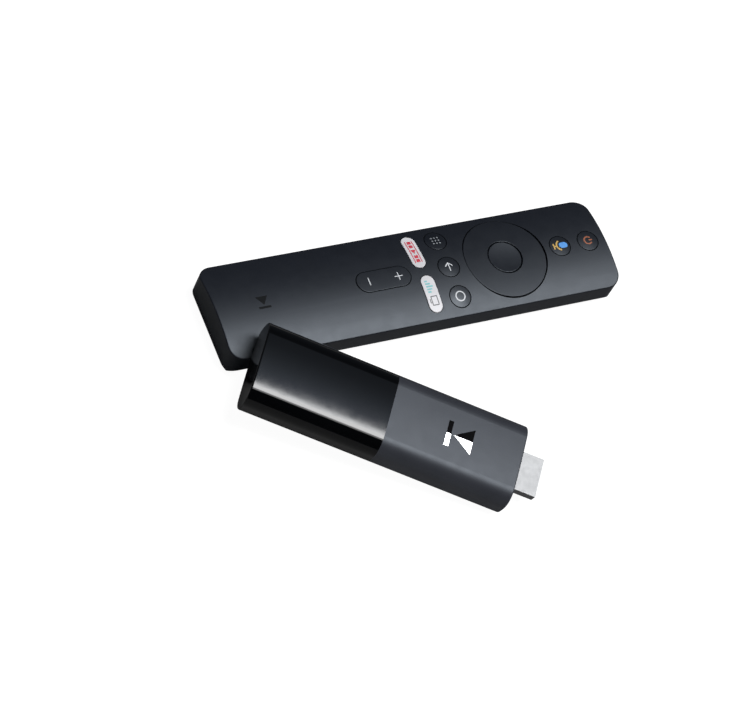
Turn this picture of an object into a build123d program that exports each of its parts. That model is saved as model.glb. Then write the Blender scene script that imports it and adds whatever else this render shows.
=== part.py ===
from build123d import *
from math import asin, cos, pi, radians, sin, sqrt
import os

# A streaming media player as it is used: the HDMI stick that plugs into a television,
# and the battery remote that drives it. The stick leans on the remote's long edge.
# Row frame: millimetres, +Z up, +X along the remote towards its power key.
# The origin is the centre of the remote's flat underside.
# The stick is modelled in its own frame (+X towards the plug, +Z out of its top face),
# then set down on the remote by stick_pose when it is written.

# ---------------------------------------------------------------- remote: driving sizes
remote_length = 149.5
remote_width = 36.0
remote_height = 14.4
remote_corner = 5.2  # plan radius of the four corners
crown = 3.0  # rise of the face from its long edges to its middle
edge_height = remote_height - crown
parting_height = 4.6  # where the upper and lower shells meet
shell_wall = 1.5
flat_half_width = 10.0  # the underside is flat this far from its centreline
end_ramp_length, end_ramp_rise = 9.0, 2.8  # the underside lifts towards each end
top_edge_round = 0.5

# Key places along the remote (X), across it (Y) and their sizes.
power_x, voice_x, nav_x = 67.6, 56.3, 34.5
trio_x, trio_y = 12.2, 11.3
app_x, app_y = 2.3, 8.4
rocker_x = -12.8
key_radius = 3.85
app_key_length, app_key_width = 13.5, 5.0
rocker_length, rocker_width = 20.2, 7.8
nav_outer, nav_inner, ok_radius = 15.2, 6.35, 6.05
nav_gap = 0.35  # the ring needs more room than a key, because it rocks
# The ring is flatter than the face: sunk at its sides, a little proud at front and back.
nav_crown_height, nav_crown_drop = 14.05, 1.3
ok_rim, ok_dish = 13.85, 0.3
key_gap = 0.22  # between a key and the edge of its opening
key_proud = 0.18
key_dome_rise, key_dome_radius = 0.3, 24.0  # the round keys are slightly domed
key_flange, flange_thickness = 0.7, 0.8
key_travel_room = 0.45
edge_soften = 0.18

# Board stack inside the remote.
board_bottom, board_top = 5.0, 6.0
dome_height, dome_radius = 0.35, 2.2
mat_bottom, mat_top, mat_bump = 6.45, 7.15, 0.25
plunger_bottom = mat_top + mat_bump + key_travel_room
plunger_radius = 1.4
rocker_pad_offset = 4.2
nav_pad_radius = 11.5  # the ring's four pushers stand on this circle
nav_floor, nav_flange_top, nav_underside = 9.2, 9.95, 10.4
nav_flange_radius = 16.0

# Battery bay.
cell_diameter, cell_length, nub_length, nub_radius = 10.5, 44.5, 0.8, 1.9
cell_y, cell_z = 5.6, 7.05
bay_rear, bay_front = -68.4, -21.5  # inner faces of the end contacts
contact_thickness = 0.3
door_end, door_half_width, door_thickness = -11.0, 12.0, 1.3
door_clearance = 0.1
tab_y, tab_half_width = 10.7, 0.9  # the door's two locking tabs
tab_slot_length = 58.0
screw_places = [(-15.5, 7.0), (-15.5, -7.0)]
pin_places = [(60.0, 10.0), (60.0, -10.0)]

# ---------------------------------------------------------------- stick: driving sizes
stick_length, stick_width, stick_height = 93.2, 30.2, 15.2
stick_corner, stick_crown_radius = 6.0, 200.0  # round shoulders, slightly crowned faces
stick_wall = 1.4
seam_x = -0.4  # the gloss cover ends and the matte sleeve begins here
spigot_length, spigot_wall = 5.0, 0.8
plug_reach, plug_width, plug_height, plug_drop = 9.4, 13.9, 4.45, -0.8
plug_chamfer, plug_skin = 1.35, 0.35
main_board_rear, main_board_front, main_board_half_width = -43.0, 38.5, 12.3
main_board_bottom, main_board_top = -1.4, -0.4
usb_x, usb_width, usb_height, usb_depth = -22.0, 7.5, 2.9, 5.0
usb_z = main_board_top + usb_height / 2
led_x, led_z = -11.0, 0.45
frame_bottom = -5.1  # the carrier frame rests on the spigot's floor
frame_screws = [(-38.0, 0), (34.0, 0)]

# How the stick lies: its underside rests on the remote's long edge and on the table.
stick_centre = (-32.97, -49.72, 13.446)
stick_heading = -34.0  # degrees from the remote's length, seen from above
stick_lean = 10.467  # degrees that the top face slopes down, away from the remote

lean, heading = radians(stick_lean), radians(stick_heading)
stick_up = Vector(0, -sin(lean), cos(lean))
stick_forward = Vector(cos(heading), sin(heading) * cos(lean), sin(heading) * sin(lean))
stick_pose = Plane(origin=stick_centre, x_dir=stick_forward, z_dir=stick_up).location

crown_radius = ((remote_width / 2) ** 2 + crown**2) / (2 * crown)

os.makedirs("parts", exist_ok=True)


def save(piece, label, place=None):
    """Label a finished piece and write it, moved to where it lies if it has a place."""
    if place is not None:
        piece = piece.moved(place)
    piece.label = label
    export_step(piece, f"parts/{label}.step")


def crown_z(y, inset=0.0):
    """Height of the crowned face, shrunk inwards by inset, at this distance from the centreline."""
    return remote_height - crown_radius + sqrt((crown_radius - inset) ** 2 - y**2)


def tangent_radius(run, rise):
    """Radius of an arc that starts level and climbs by rise over run."""
    return (run**2 + rise**2) / (2 * rise)


def arc_middle(start, run, rise):
    """Midpoint of that arc, which starts at start and heads outwards along the first axis."""
    radius = tangent_radius(abs(run), rise)
    half_turn = asin(sqrt(rise / (2 * radius)))
    side = 1 if run > 0 else -1
    return (start[0] + side * radius * sin(half_turn), start[1] + radius * (1 - cos(half_turn)))


def remote_form(inset=0.0):
    """The remote's closed outer form, shrunk by inset on every side."""
    half = remote_width / 2 - inset
    long_half = remote_length / 2 - inset
    low = inset
    with BuildPart() as form:
        with BuildSketch(Plane.YZ):
            with BuildLine():
                shoulder = crown_z(half, inset)
                ThreePointArc((-half, shoulder), (0, remote_height - inset), (half, shoulder))
                Line((half, shoulder), (half, parting_height))
                ThreePointArc(
                    (half, parting_height),
                    arc_middle((flat_half_width, low), half - flat_half_width, parting_height - low),
                    (flat_half_width, low),
                )
                Line((flat_half_width, low), (-flat_half_width, low))
                ThreePointArc(
                    (-flat_half_width, low),
                    arc_middle((-flat_half_width, low), flat_half_width - half, parting_height - low),
                    (-half, parting_height),
                )
                Line((-half, parting_height), (-half, shoulder))
            make_face()
        extrude(amount=remote_length, both=True)
        with BuildSketch(Plane.XY.offset(-1)):
            RectangleRounded(2 * long_half, 2 * half, remote_corner - inset)
        extrude(amount=remote_height + 2, mode=Mode.INTERSECT)
        with BuildSketch(Plane.XZ):
            with BuildLine():
                ramp_start = long_half - end_ramp_length
                Polyline(
                    (-long_half, low + end_ramp_rise),
                    (-long_half, remote_height + 1),
                    (long_half, remote_height + 1),
                    (long_half, low + end_ramp_rise),
                )
                ThreePointArc(
                    (long_half, low + end_ramp_rise),
                    arc_middle((ramp_start, low), end_ramp_length, end_ramp_rise),
                    (ramp_start, low),
                )
                Line((ramp_start, low), (-ramp_start, low))
                ThreePointArc(
                    (-ramp_start, low),
                    arc_middle((-ramp_start, low), -end_ramp_length, end_ramp_rise),
                    (-long_half, low + end_ramp_rise),
                )
            make_face()
        extrude(amount=remote_width, both=True, mode=Mode.INTERSECT)
    return form.part


outer_form = remote_form()
inner_form = remote_form(shell_wall)
proud_form = remote_form(-key_proud)

# The keys that travel straight down: name, place and outline (length along X, width along Y).
round_size = (2 * key_radius, 2 * key_radius)
app_size = (app_key_width, app_key_length)
straight_keys = {
    "power_key": ((power_x, 0), round_size),
    "voice_key": ((voice_x, 0), round_size),
    "apps_key": ((trio_x, trio_y), round_size),
    "back_key": ((trio_x, 0), round_size),
    "home_key": ((trio_x, -trio_y), round_size),
    "app_key_rear": ((app_x, app_y), app_size),
    "app_key_front": ((app_x, -app_y), app_size),
}
compass = ((1, 0), (0, 1), (-1, 0), (0, -1))
nav_pads = [(nav_x + dx * nav_pad_radius, dy * nav_pad_radius) for dx, dy in compass]
rocker_pads = [(rocker_x - rocker_pad_offset, 0), (rocker_x + rocker_pad_offset, 0)]
switch_places = [place for place, size in straight_keys.values()] + nav_pads + rocker_pads + [(nav_x, 0)]


def stadium(size, grow=0.0):
    """Sketch outline with fully round ends, grown on every side."""
    length, width = size[0] + 2 * grow, size[1] + 2 * grow
    if abs(length - width) < 0.01:
        return Circle(length / 2)
    return RectangleRounded(length, width, min(length, width) / 2 - 0.01)


# ================================================================ remote: shells
with BuildPart() as remote_top_shell:
    add(outer_form)
    rim = remote_top_shell.edges().filter_by(lambda e: e.bounding_box().min.Z > edge_height - 0.2)
    fillet(rim, top_edge_round)
    add(inner_form, mode=Mode.SUBTRACT)
    split(bisect_by=Plane.XY.offset(parting_height), keep=Keep.TOP)
    # Openings for the keys.
    with BuildSketch(Plane.XY.offset(nav_flange_top)):
        for place, size in straight_keys.values():
            with Locations(place):
                stadium(size, key_gap)
        with Locations((rocker_x, 0)):
            stadium((rocker_length, rocker_width), key_gap)
        with Locations((nav_x, 0)):
            Circle(nav_outer + nav_gap)
    extrude(amount=remote_height, mode=Mode.SUBTRACT)
    # Bosses for the case screws.
    with BuildSketch(Plane.XY.offset(board_top + 0.1)):
        with Locations(*screw_places):
            Circle(1.9)
    extrude(amount=6.5)
    with BuildSketch(Plane.XY.offset(board_top)):
        with Locations(*screw_places):
            Circle(0.86)
    extrude(amount=4.2, mode=Mode.SUBTRACT)
    # Rib that backs the contacts at the rear of the battery bay.
    with BuildSketch(Plane.XY.offset(parting_height + 0.4)):
        with Locations((bay_rear - contact_thickness - 0.6, 0)):
            Rectangle(1.2, 21.0)
    extrude(amount=8.0)
    # Microphone port in the end wall beside the power key.
    with BuildSketch(Plane.YZ.offset(remote_length / 2 - 2)):
        with Locations((0, 7.6)):
            Circle(0.45)
    extrude(amount=4, mode=Mode.SUBTRACT)
save(remote_top_shell.part, "remote_top_shell")

partition_x = bay_front + contact_thickness
lip_inset = shell_wall + 0.1
door_opening_length = remote_length / 2 + door_end + door_clearance + 1
inner_floor_bottom, inner_floor_half_width = 1.75, 13.6

with BuildPart() as remote_bottom_shell:
    add(outer_form)
    add(inner_form, mode=Mode.SUBTRACT)
    split(bisect_by=Plane.XY.offset(parting_height), keep=Keep.BOTTOM)
    # Locating lip that stands inside the upper shell.
    with BuildSketch(Plane.XY.offset(parting_height - 1.2)):
        lip_length, lip_width = remote_length - 2 * lip_inset, remote_width - 2 * lip_inset
        lip_corner = remote_corner - lip_inset
        RectangleRounded(lip_length, lip_width, lip_corner)
        RectangleRounded(lip_length - 1.4, lip_width - 1.4, lip_corner - 0.7, mode=Mode.SUBTRACT)
    extrude(amount=2.1)
    # Opening for the battery door, open at the rear end.
    with BuildSketch(Plane.XY.offset(-1)):
        with Locations((door_end + door_clearance - door_opening_length / 2, 0)):
            Rectangle(door_opening_length, 2 * (door_half_width + door_clearance))
    extrude(amount=1 + parting_height, mode=Mode.SUBTRACT)
    with BuildSketch(Plane.XY.offset(parting_height - 0.1)):
        with Locations((1 - remote_length / 2, 0)):
            Rectangle(4.0, 2 * (door_half_width + door_clearance))
    extrude(amount=1.2, mode=Mode.SUBTRACT)
    # Floor between the bay and the board, above the door, and the bay's end wall.
    with BuildSketch(Plane.XY.offset(inner_floor_bottom)):
        with Locations(((partition_x + door_end + 1.6) / 2, 0)):
            Rectangle(door_end + 1.6 - partition_x, 2 * inner_floor_half_width)
    extrude(amount=1.45)
    with BuildSketch(Plane.XY.offset(shell_wall - 0.1)):
        with Locations((door_end + door_clearance + 0.75, 0)):
            Rectangle(1.5, 2 * inner_floor_half_width)
    extrude(amount=1.8)
    with BuildSketch(Plane.XY.offset(inner_floor_bottom)):
        with Locations((partition_x + 0.4, 0)):
            Rectangle(0.8, 2 * inner_floor_half_width)
    extrude(amount=8.6)
    # Bosses for the case screws, and rests and pins for the board.
    with BuildSketch(Plane.XY.offset(inner_floor_bottom)):
        with Locations(*screw_places):
            Circle(2.2)
    extrude(amount=board_bottom - inner_floor_bottom)
    with BuildSketch(Plane.XY.offset(shell_wall - 0.1)):
        with Locations(*pin_places, (nav_x, 12), (nav_x, -12), (0, 12), (0, -12)):
            Circle(1.6)
    extrude(amount=board_bottom - shell_wall + 0.1)
    with BuildSketch(Plane.XY.offset(board_bottom)):
        with Locations(*pin_places):
            Circle(0.9)
    extrude(amount=1.3)
    with BuildSketch(Plane.XY.offset(shell_wall)):
        with Locations(*screw_places):
            Circle(0.95)
    extrude(amount=board_bottom, mode=Mode.SUBTRACT)
    with BuildSketch(Plane.XY.offset(shell_wall)):
        with Locations(*screw_places):
            Circle(1.7)
    extrude(amount=1.3, mode=Mode.SUBTRACT)
    # Slots that the door's tabs slide along.
    with BuildSketch(Plane.XY.offset(shell_wall - 0.1)):
        with Locations(*[(door_end + 1.8 - tab_slot_length / 2, side * tab_y) for side in (1, -1)]):
            Rectangle(tab_slot_length, 2 * tab_half_width + 0.2)
    extrude(amount=1.1, mode=Mode.SUBTRACT)
save(remote_bottom_shell.part, "remote_bottom_shell")

with BuildPart() as battery_door:
    add(outer_form)
    add(remote_form(door_thickness), mode=Mode.SUBTRACT)
    with BuildSketch(Plane.XY.offset(-1)):
        with Locations(((door_end - remote_length / 2 - 1) / 2, 0)):
            Rectangle(remote_length / 2 + door_end + 1, 2 * door_half_width)
    extrude(amount=1 + parting_height - 0.1, mode=Mode.INTERSECT)
    # Locking tabs that reach forward under the shell's floor.
    with BuildSketch(Plane.XY.offset(door_thickness - 0.4)):
        with Locations(*[(door_end - 1.2, side * tab_y) for side in (1, -1)]):
            Rectangle(2.4, 2 * tab_half_width)
    extrude(amount=1.4)
    with BuildSketch(Plane.XY.offset(shell_wall + 0.1)):
        with Locations(*[(door_end + 0.5, side * tab_y) for side in (1, -1)]):
            Rectangle(2.0, 2 * tab_half_width)
    extrude(amount=0.7)
    # Thumb grip: shallow grooves across the outer face.
    with BuildSketch(Plane.XY):
        with Locations(*[(door_end - 8 - 2.0 * i, 0) for i in range(5)]):
            SlotOverall(12.0, 0.9, rotation=90)
    extrude(amount=0.4, mode=Mode.SUBTRACT)
save(battery_door.part, "battery_door")

# ================================================================ remote: battery bay


def battery(y, nub_side):
    """A AAA cell whose positive nub points along nub_side, touching that end's contact."""
    nub_tip = bay_front if nub_side > 0 else bay_rear
    shoulder = nub_tip - nub_side * nub_length
    with BuildPart() as cell:
        with BuildSketch(Plane.YZ.offset(shoulder)):
            with Locations((y, cell_z)):
                Circle(cell_diameter / 2)
        extrude(amount=-nub_side * (cell_length - nub_length))
        fillet(cell.edges().filter_by(GeomType.CIRCLE), 0.35)
        with BuildSketch(Plane.YZ.offset(shoulder)):
            with Locations((y, cell_z)):
                Circle(nub_radius)
        extrude(amount=nub_side * nub_length)
    return cell.part


save(battery(cell_y, 1), "battery_left")
save(battery(-cell_y, -1), "battery_right")


def cone_spring(y, wall_x, direction):
    """Conical contact spring, wide on its wall, that presses on a cell's flat end."""
    wire, turns, wide, narrow, points_per_turn = 0.25, 3, 3.6, 2.2, 12
    room = bay_front - bay_rear - cell_length - 2 * wire
    route = []
    for i in range(turns * points_per_turn + 1):
        share = i / (turns * points_per_turn)
        radius, angle = wide + (narrow - wide) * share, 2 * pi * turns * share
        x = wall_x + direction * (wire + room * share)
        route.append((x, y + radius * cos(angle), cell_z + radius * sin(angle)))
    with BuildPart() as spring:
        with BuildLine() as coil:
            Spline(*route)
        with BuildSketch(Plane(origin=coil.line @ 0, z_dir=coil.line % 0)):
            Circle(wire)
        sweep()
    return spring.part


springs = Compound(children=[cone_spring(cell_y, bay_rear, 1), cone_spring(-cell_y, bay_front, -1)])
save(springs, "battery_springs")

with BuildPart() as battery_contacts:
    with BuildSketch(Plane.YZ.offset(bay_rear)):
        with Locations((0, cell_z)):
            RectangleRounded(20.0, 8.0, 1.0)
    extrude(amount=-contact_thickness)
    with BuildSketch(Plane.YZ.offset(bay_front)):
        with Locations((cell_y, cell_z), (-cell_y, cell_z)):
            RectangleRounded(9.4, 7.0, 1.0)
    extrude(amount=contact_thickness)
save(battery_contacts.part, "battery_contacts")

# ================================================================ remote: board and keypad
remote_board_rear, remote_board_front = -20.1, 71.5
board_middle = (remote_board_rear + remote_board_front) / 2

with BuildPart() as remote_board:
    with BuildSketch(Plane.XY.offset(board_bottom)):
        with Locations((board_middle, 0)):
            RectangleRounded(remote_board_front - remote_board_rear, 30.4, 4.5)
        with Locations(*screw_places, *pin_places):
            Circle(1.1, mode=Mode.SUBTRACT)
    extrude(amount=board_top - board_bottom)
save(remote_board.part, "remote_board")

with BuildPart() as key_domes:
    cap_radius = (dome_radius**2 + dome_height**2) / (2 * dome_height)
    with Locations(*[(x, y, board_top + dome_height - cap_radius) for x, y in switch_places]):
        Sphere(cap_radius)
    with BuildSketch(Plane.XY.offset(board_top)):
        with Locations(*switch_places):
            Circle(dome_radius + 0.1)
    extrude(amount=1.0, mode=Mode.INTERSECT)
save(key_domes.part, "key_domes")

mat_length, mat_width = remote_board_front - remote_board_rear - 0.4, 29.2
with BuildPart() as keypad_mat:
    with BuildSketch(Plane.XY.offset(board_top)):
        with Locations((board_middle, 0)):
            RectangleRounded(mat_length, mat_width, 4.0)
    extrude(amount=mat_top - board_top)
    # Hollow underneath, so that the mat stands on its rim clear of the domes.
    with BuildSketch(Plane.XY.offset(board_top)):
        with Locations((board_middle, 0)):
            RectangleRounded(mat_length - 0.8, mat_width - 0.8, 3.6)
    extrude(amount=mat_bottom - board_top, mode=Mode.SUBTRACT)
    with BuildSketch(Plane.XY.offset(board_top)):
        with Locations(*screw_places):
            Circle(2.3)
        with Locations(*pin_places):
            Circle(1.3)
    extrude(amount=mat_top, mode=Mode.SUBTRACT)
    with BuildSketch(Plane.XY.offset(mat_top)):
        with Locations(*switch_places):
            Circle(1.8)
    extrude(amount=mat_bump)
save(keypad_mat.part, "keypad_mat")

with BuildPart() as radio_chip:
    with BuildSketch(Plane.XY.offset(board_bottom)):
        with Locations((48, 0)):
            Rectangle(6, 6)
    extrude(amount=-0.9)
    chamfer(radio_chip.faces().sort_by(Axis.Z)[0].edges(), 0.12)
save(radio_chip.part, "radio_chip")

with BuildPart() as remote_crystal:
    with BuildSketch(Plane.XY.offset(board_bottom)):
        with Locations((54.5, 3.5)):
            RectangleRounded(3.2, 2.5, 0.4)
    extrude(amount=-0.75)
save(remote_crystal.part, "remote_crystal")

with BuildPart() as remote_microphone:
    with BuildSketch(Plane.XY.offset(board_bottom)):
        with Locations((68.6, 0)):
            RectangleRounded(3.0, 4.0, 0.3)
    extrude(amount=-1.0)
save(remote_microphone.part, "remote_microphone")

with BuildPart() as remote_capacitors:
    with BuildSketch(Plane.XY.offset(board_bottom)):
        with Locations((42.0, 0)):
            with GridLocations(1, 3.0, 1, 4):
                Rectangle(1.0, 1.8)
        with Locations((23.5, -8.0)):
            with GridLocations(3.5, 1, 3, 1):
                Rectangle(1.0, 1.8)
    extrude(amount=-0.8)
save(remote_capacitors.part, "remote_capacitors")


# ================================================================ remote: keys
def flange_top_at(y):
    """Highest flat level that stays clear under the upper shell this far from the centreline."""
    return crown_z(abs(y), shell_wall) - 0.25


def straight_key(place, size):
    """A keycap that follows the crown, with a retaining flange and a pusher over its dome."""
    x, y = place
    flange_top = flange_top_at(abs(y) + size[1] / 2 + key_flange)
    with BuildPart() as key:
        with BuildSketch(Plane.XY.offset(flange_top - 0.2)):
            with Locations(place):
                stadium(size)
        extrude(amount=remote_height)
        if size == round_size:
            tilt = asin(y / crown_radius)
            reach = key_dome_rise - key_dome_radius
            with Locations((x, y + reach * sin(tilt), crown_z(y) + reach * cos(tilt))):
                Sphere(key_dome_radius, mode=Mode.INTERSECT)
        else:
            add(proud_form, mode=Mode.INTERSECT)
        fillet(key.edges().filter_by(lambda e: e.bounding_box().min.Z > flange_top + 0.3), edge_soften)
        with BuildSketch(Plane.XY.offset(flange_top)):
            with Locations(place):
                stadium(size, key_flange)
        extrude(amount=-flange_thickness)
        with BuildSketch(Plane.XY.offset(flange_top - flange_thickness)):
            with Locations(place):
                Circle(plunger_radius)
        extrude(amount=plunger_bottom - (flange_top - flange_thickness))
    return key.part


for name, (place, size) in straight_keys.items():
    save(straight_key(place, size), name)

rocker_flange_top = flange_top_at(rocker_width / 2 + key_flange) - 0.25  # leaves room to rock
with BuildPart() as volume_rocker:
    with BuildSketch(Plane.XY.offset(rocker_flange_top - 0.2)):
        with Locations((rocker_x, 0)):
            stadium((rocker_length, rocker_width))
    extrude(amount=remote_height)
    add(proud_form, mode=Mode.INTERSECT)
    rim = volume_rocker.edges().filter_by(lambda e: e.bounding_box().min.Z > rocker_flange_top + 0.3)
    fillet(rim, edge_soften)
    with BuildSketch(Plane.XY.offset(rocker_flange_top)):
        with Locations((rocker_x, 0)):
            RectangleRounded(rocker_length - 2.4, rocker_width + 1.2, 2.0)
    extrude(amount=-flange_thickness)
    with BuildSketch(Plane.XY.offset(rocker_flange_top - 0.4)):
        with Locations(*rocker_pads):
            Circle(plunger_radius)
    extrude(amount=plunger_bottom - (rocker_flange_top - 0.4))
save(volume_rocker.part, "volume_rocker")

nav_crown_radius = (nav_outer**2 + nav_crown_drop**2) / (2 * nav_crown_drop)
nav_crown_centre = (nav_x, 0, nav_crown_height - nav_crown_radius)

with BuildPart() as nav_ring:
    with BuildSketch(Plane.XY.offset(nav_underside)):
        with Locations((nav_x, 0)):
            Circle(nav_outer)
            Circle(nav_inner, mode=Mode.SUBTRACT)
    extrude(amount=remote_height - nav_underside)
    with BuildSketch(Plane(origin=nav_crown_centre, x_dir=(0, 1, 0), z_dir=(1, 0, 0))):
        Circle(nav_crown_radius)
    extrude(amount=nav_flange_radius + 1, both=True, mode=Mode.INTERSECT)
    fillet(nav_ring.edges().filter_by(lambda e: e.bounding_box().min.Z > nav_underside + 0.3), edge_soften)
    with BuildSketch(Plane.XY.offset(nav_floor)):
        with Locations((nav_x, 0)):
            Circle(nav_outer)
            Circle(nav_outer - 1.1, mode=Mode.SUBTRACT)
    extrude(amount=nav_underside - nav_floor)
    with BuildSketch(Plane.XY.offset(nav_floor)):
        with Locations((nav_x, 0)):
            Circle(nav_flange_radius)
            Circle(nav_outer - 1.1, mode=Mode.SUBTRACT)
    extrude(amount=nav_flange_top - nav_floor)
    with BuildSketch(Plane.XY.offset(nav_underside + 0.2)):
        with Locations(*nav_pads):
            Circle(1.3)
    extrude(amount=plunger_bottom + 0.05 - nav_underside - 0.2)
save(nav_ring.part, "nav_ring")

with BuildPart() as nav_frame:
    with BuildSketch(Plane.XY.offset(8.05)):
        with Locations((nav_x, 0)):
            Circle(14.4)
            Circle(8.6, mode=Mode.SUBTRACT)
        with Locations(*nav_pads):
            Circle(2.0, mode=Mode.SUBTRACT)
    extrude(amount=0.6)
save(nav_frame.part, "nav_frame")

with BuildPart() as ok_key:
    with BuildSketch(Plane.XY.offset(9.4)):
        with Locations((nav_x, 0)):
            Circle(ok_radius)
    extrude(amount=ok_rim - 9.4)
    dish_radius = (ok_radius**2 + ok_dish**2) / (2 * ok_dish)
    with Locations((nav_x, 0, ok_rim - ok_dish + dish_radius)):
        Sphere(dish_radius, mode=Mode.SUBTRACT)
    fillet(ok_key.edges().group_by(Axis.Z)[-1], edge_soften)
    with BuildSketch(Plane.XY.offset(9.3)):
        with Locations((nav_x, 0)):
            Circle(ok_radius + 1.0)
    extrude(amount=0.7)
    with BuildSketch(Plane.XY.offset(9.3)):
        with Locations((nav_x, 0)):
            Circle(1.8)
    extrude(amount=plunger_bottom - 9.3)
save(ok_key.part, "ok_key")

with BuildPart() as case_screws:
    with BuildSketch(Plane.XY.offset(shell_wall + 0.1)):
        with Locations(*screw_places):
            Circle(1.55)
    extrude(amount=1.2)
    with BuildSketch(Plane.XY.offset(shell_wall + 1.3)):
        with Locations(*screw_places):
            Circle(0.85)
    extrude(amount=7.0)
    with BuildSketch(Plane.XY.offset(shell_wall)):
        with Locations(*screw_places):
            Rectangle(1.7, 0.4)
            Rectangle(0.4, 1.7)
    extrude(amount=0.6, mode=Mode.SUBTRACT)
save(case_screws.part, "case_screws")


# ================================================================ stick: shells
def stick_section(inset=0.0, mode=Mode.ADD):
    """Outline of the stick's cross-section, shrunk by inset: crowned faces and round shoulders."""
    centre_y = stick_width / 2 - stick_corner
    tilt = asin(centre_y / (stick_crown_radius - stick_corner))
    centre_z = stick_height / 2 - stick_crown_radius + (stick_crown_radius - stick_corner) * cos(tilt)
    radius = stick_corner - inset
    start, middle, end = [
        (centre_y + radius * sin(angle), centre_z + radius * cos(angle))
        for angle in (tilt, (tilt + pi / 2) / 2, pi / 2)
    ]
    with BuildLine() as outline:
        face = ThreePointArc((-start[0], start[1]), (0, stick_height / 2 - inset), start)
        shoulder = ThreePointArc(start, middle, end)
        side = Line(end, (end[0], -end[1]))
        lower_shoulder = mirror(shoulder, about=Plane.XZ)
        mirror(face, about=Plane.XZ)
        mirror([shoulder, side, lower_shoulder], about=Plane.YZ)
    make_face(outline.edges(), mode=mode)


half_length = stick_length / 2
side_port_plane = Plane.XZ.offset(-stick_width / 2 - 1)

with BuildPart() as gloss_cover:
    with BuildSketch(Plane.YZ.offset(-half_length)):
        stick_section()
    extrude(amount=half_length + seam_x)
    fillet(gloss_cover.faces().sort_by(Axis.X)[0].edges(), 0.5)
    with BuildSketch(Plane.YZ.offset(stick_wall - half_length)):
        stick_section(stick_wall)
    extrude(amount=half_length, mode=Mode.SUBTRACT)
    # Power socket and status light, on the side away from the remote's user.
    with BuildSketch(side_port_plane):
        with Locations((usb_x, usb_z)):
            RectangleRounded(usb_width + 0.7, usb_height + 0.5, 0.8)
        with Locations((led_x, led_z)):
            Circle(0.8)
    extrude(amount=6, mode=Mode.SUBTRACT)
save(gloss_cover.part, "gloss_cover", stick_pose)

spigot_inset = stick_wall + 0.08
with BuildPart() as matte_sleeve:
    with BuildSketch(Plane.YZ.offset(seam_x)):
        stick_section()
    extrude(amount=half_length - seam_x)
    fillet(matte_sleeve.faces().sort_by(Axis.X)[-1].edges(), 0.45)
    with BuildSketch(Plane.YZ.offset(seam_x)):
        stick_section(stick_wall)
    extrude(amount=half_length - seam_x - stick_wall, mode=Mode.SUBTRACT)
    # Spigot that reaches into the gloss cover, and the root that joins it to the sleeve.
    with BuildSketch(Plane.YZ.offset(seam_x - spigot_length)):
        stick_section(spigot_inset)
        stick_section(spigot_inset + spigot_wall, mode=Mode.SUBTRACT)
    extrude(amount=spigot_length + 3)
    with BuildSketch(Plane.YZ.offset(seam_x + 0.6)):
        stick_section(stick_wall - 0.3)
        stick_section(spigot_inset + spigot_wall, mode=Mode.SUBTRACT)
    extrude(amount=2.4)
    with BuildSketch(Plane.YZ.offset(half_length - 3)):
        with Locations((0, plug_drop)):
            RectangleRounded(plug_width + 0.4, plug_height + 0.4, 0.5)
    extrude(amount=4, mode=Mode.SUBTRACT)
save(matte_sleeve.part, "matte_sleeve", stick_pose)

# ================================================================ stick: frame and board
with BuildPart() as carrier_frame:
    with BuildSketch(Plane.XY.offset(frame_bottom)):
        with Locations((-2, 8.0), (-2, -8.0)):
            Rectangle(78.0, 1.2)
    extrude(amount=main_board_bottom - frame_bottom)
    with BuildSketch(Plane.XY.offset(frame_bottom)):
        with Locations(*frame_screws, (-14.0, 0)):
            Rectangle(1.4, 16.0)
    extrude(amount=1.7)
    with BuildSketch(Plane.XY.offset(frame_bottom)):
        with Locations(*frame_screws):
            Circle(2.0)
    extrude(amount=main_board_bottom - frame_bottom)
    with BuildSketch(Plane.XY.offset(frame_bottom + 0.8)):
        with Locations(*frame_screws):
            Circle(0.71)
    extrude(amount=4, mode=Mode.SUBTRACT)
save(carrier_frame.part, "carrier_frame", stick_pose)

with BuildPart() as main_board:
    with BuildSketch(Plane.XY.offset(main_board_bottom)):
        with Locations(((main_board_rear + main_board_front) / 2, 0)):
            RectangleRounded(main_board_front - main_board_rear, 2 * main_board_half_width, 2.0)
        with Locations(*frame_screws):
            Circle(0.8, mode=Mode.SUBTRACT)
    extrude(amount=main_board_top - main_board_bottom)
save(main_board.part, "main_board", stick_pose)

with BuildPart() as board_screws:
    with BuildSketch(Plane.XY.offset(main_board_top)):
        with Locations(*frame_screws):
            Circle(1.5)
    extrude(amount=0.9)
    with BuildSketch(Plane.XY.offset(main_board_top)):
        with Locations(*frame_screws):
            Circle(0.7)
    extrude(amount=-3.2)
    with BuildSketch(Plane.XY.offset(main_board_top + 0.5)):
        with Locations(*frame_screws):
            Rectangle(1.6, 0.35)
            Rectangle(0.35, 1.6)
    extrude(amount=1, mode=Mode.SUBTRACT)
save(board_screws.part, "board_screws", stick_pose)


def chips(level, size, places, thickness, soften):
    """Flat packages of one size standing on a level; a negative thickness hangs them below it."""
    with BuildPart() as group:
        with BuildSketch(Plane.XY.offset(level)):
            with Locations(*places):
                Rectangle(*size)
        extrude(amount=thickness)
        chamfer(group.faces().group_by(Axis.Z, reverse=thickness > 0)[0].edges(), soften)
    return group.part


def shield_can(level, size, place, height):
    """Open-bottomed sheet-metal can; a negative height hangs it below the level."""
    skin = 0.2
    with BuildPart() as can:
        with BuildSketch(Plane.XY.offset(level)):
            with Locations(place):
                RectangleRounded(*size, 0.6)
        extrude(amount=height)
        with BuildSketch(Plane.XY.offset(level)):
            with Locations(place):
                RectangleRounded(size[0] - 2 * skin, size[1] - 2 * skin, 0.4)
        extrude(amount=height - skin if height > 0 else height + skin, mode=Mode.SUBTRACT)
    return can.part


processor_top = main_board_top + 1.2
pad_top = processor_top + 0.7
shield_top = pad_top + 0.2
shield_place = (14.0, 0)

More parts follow.
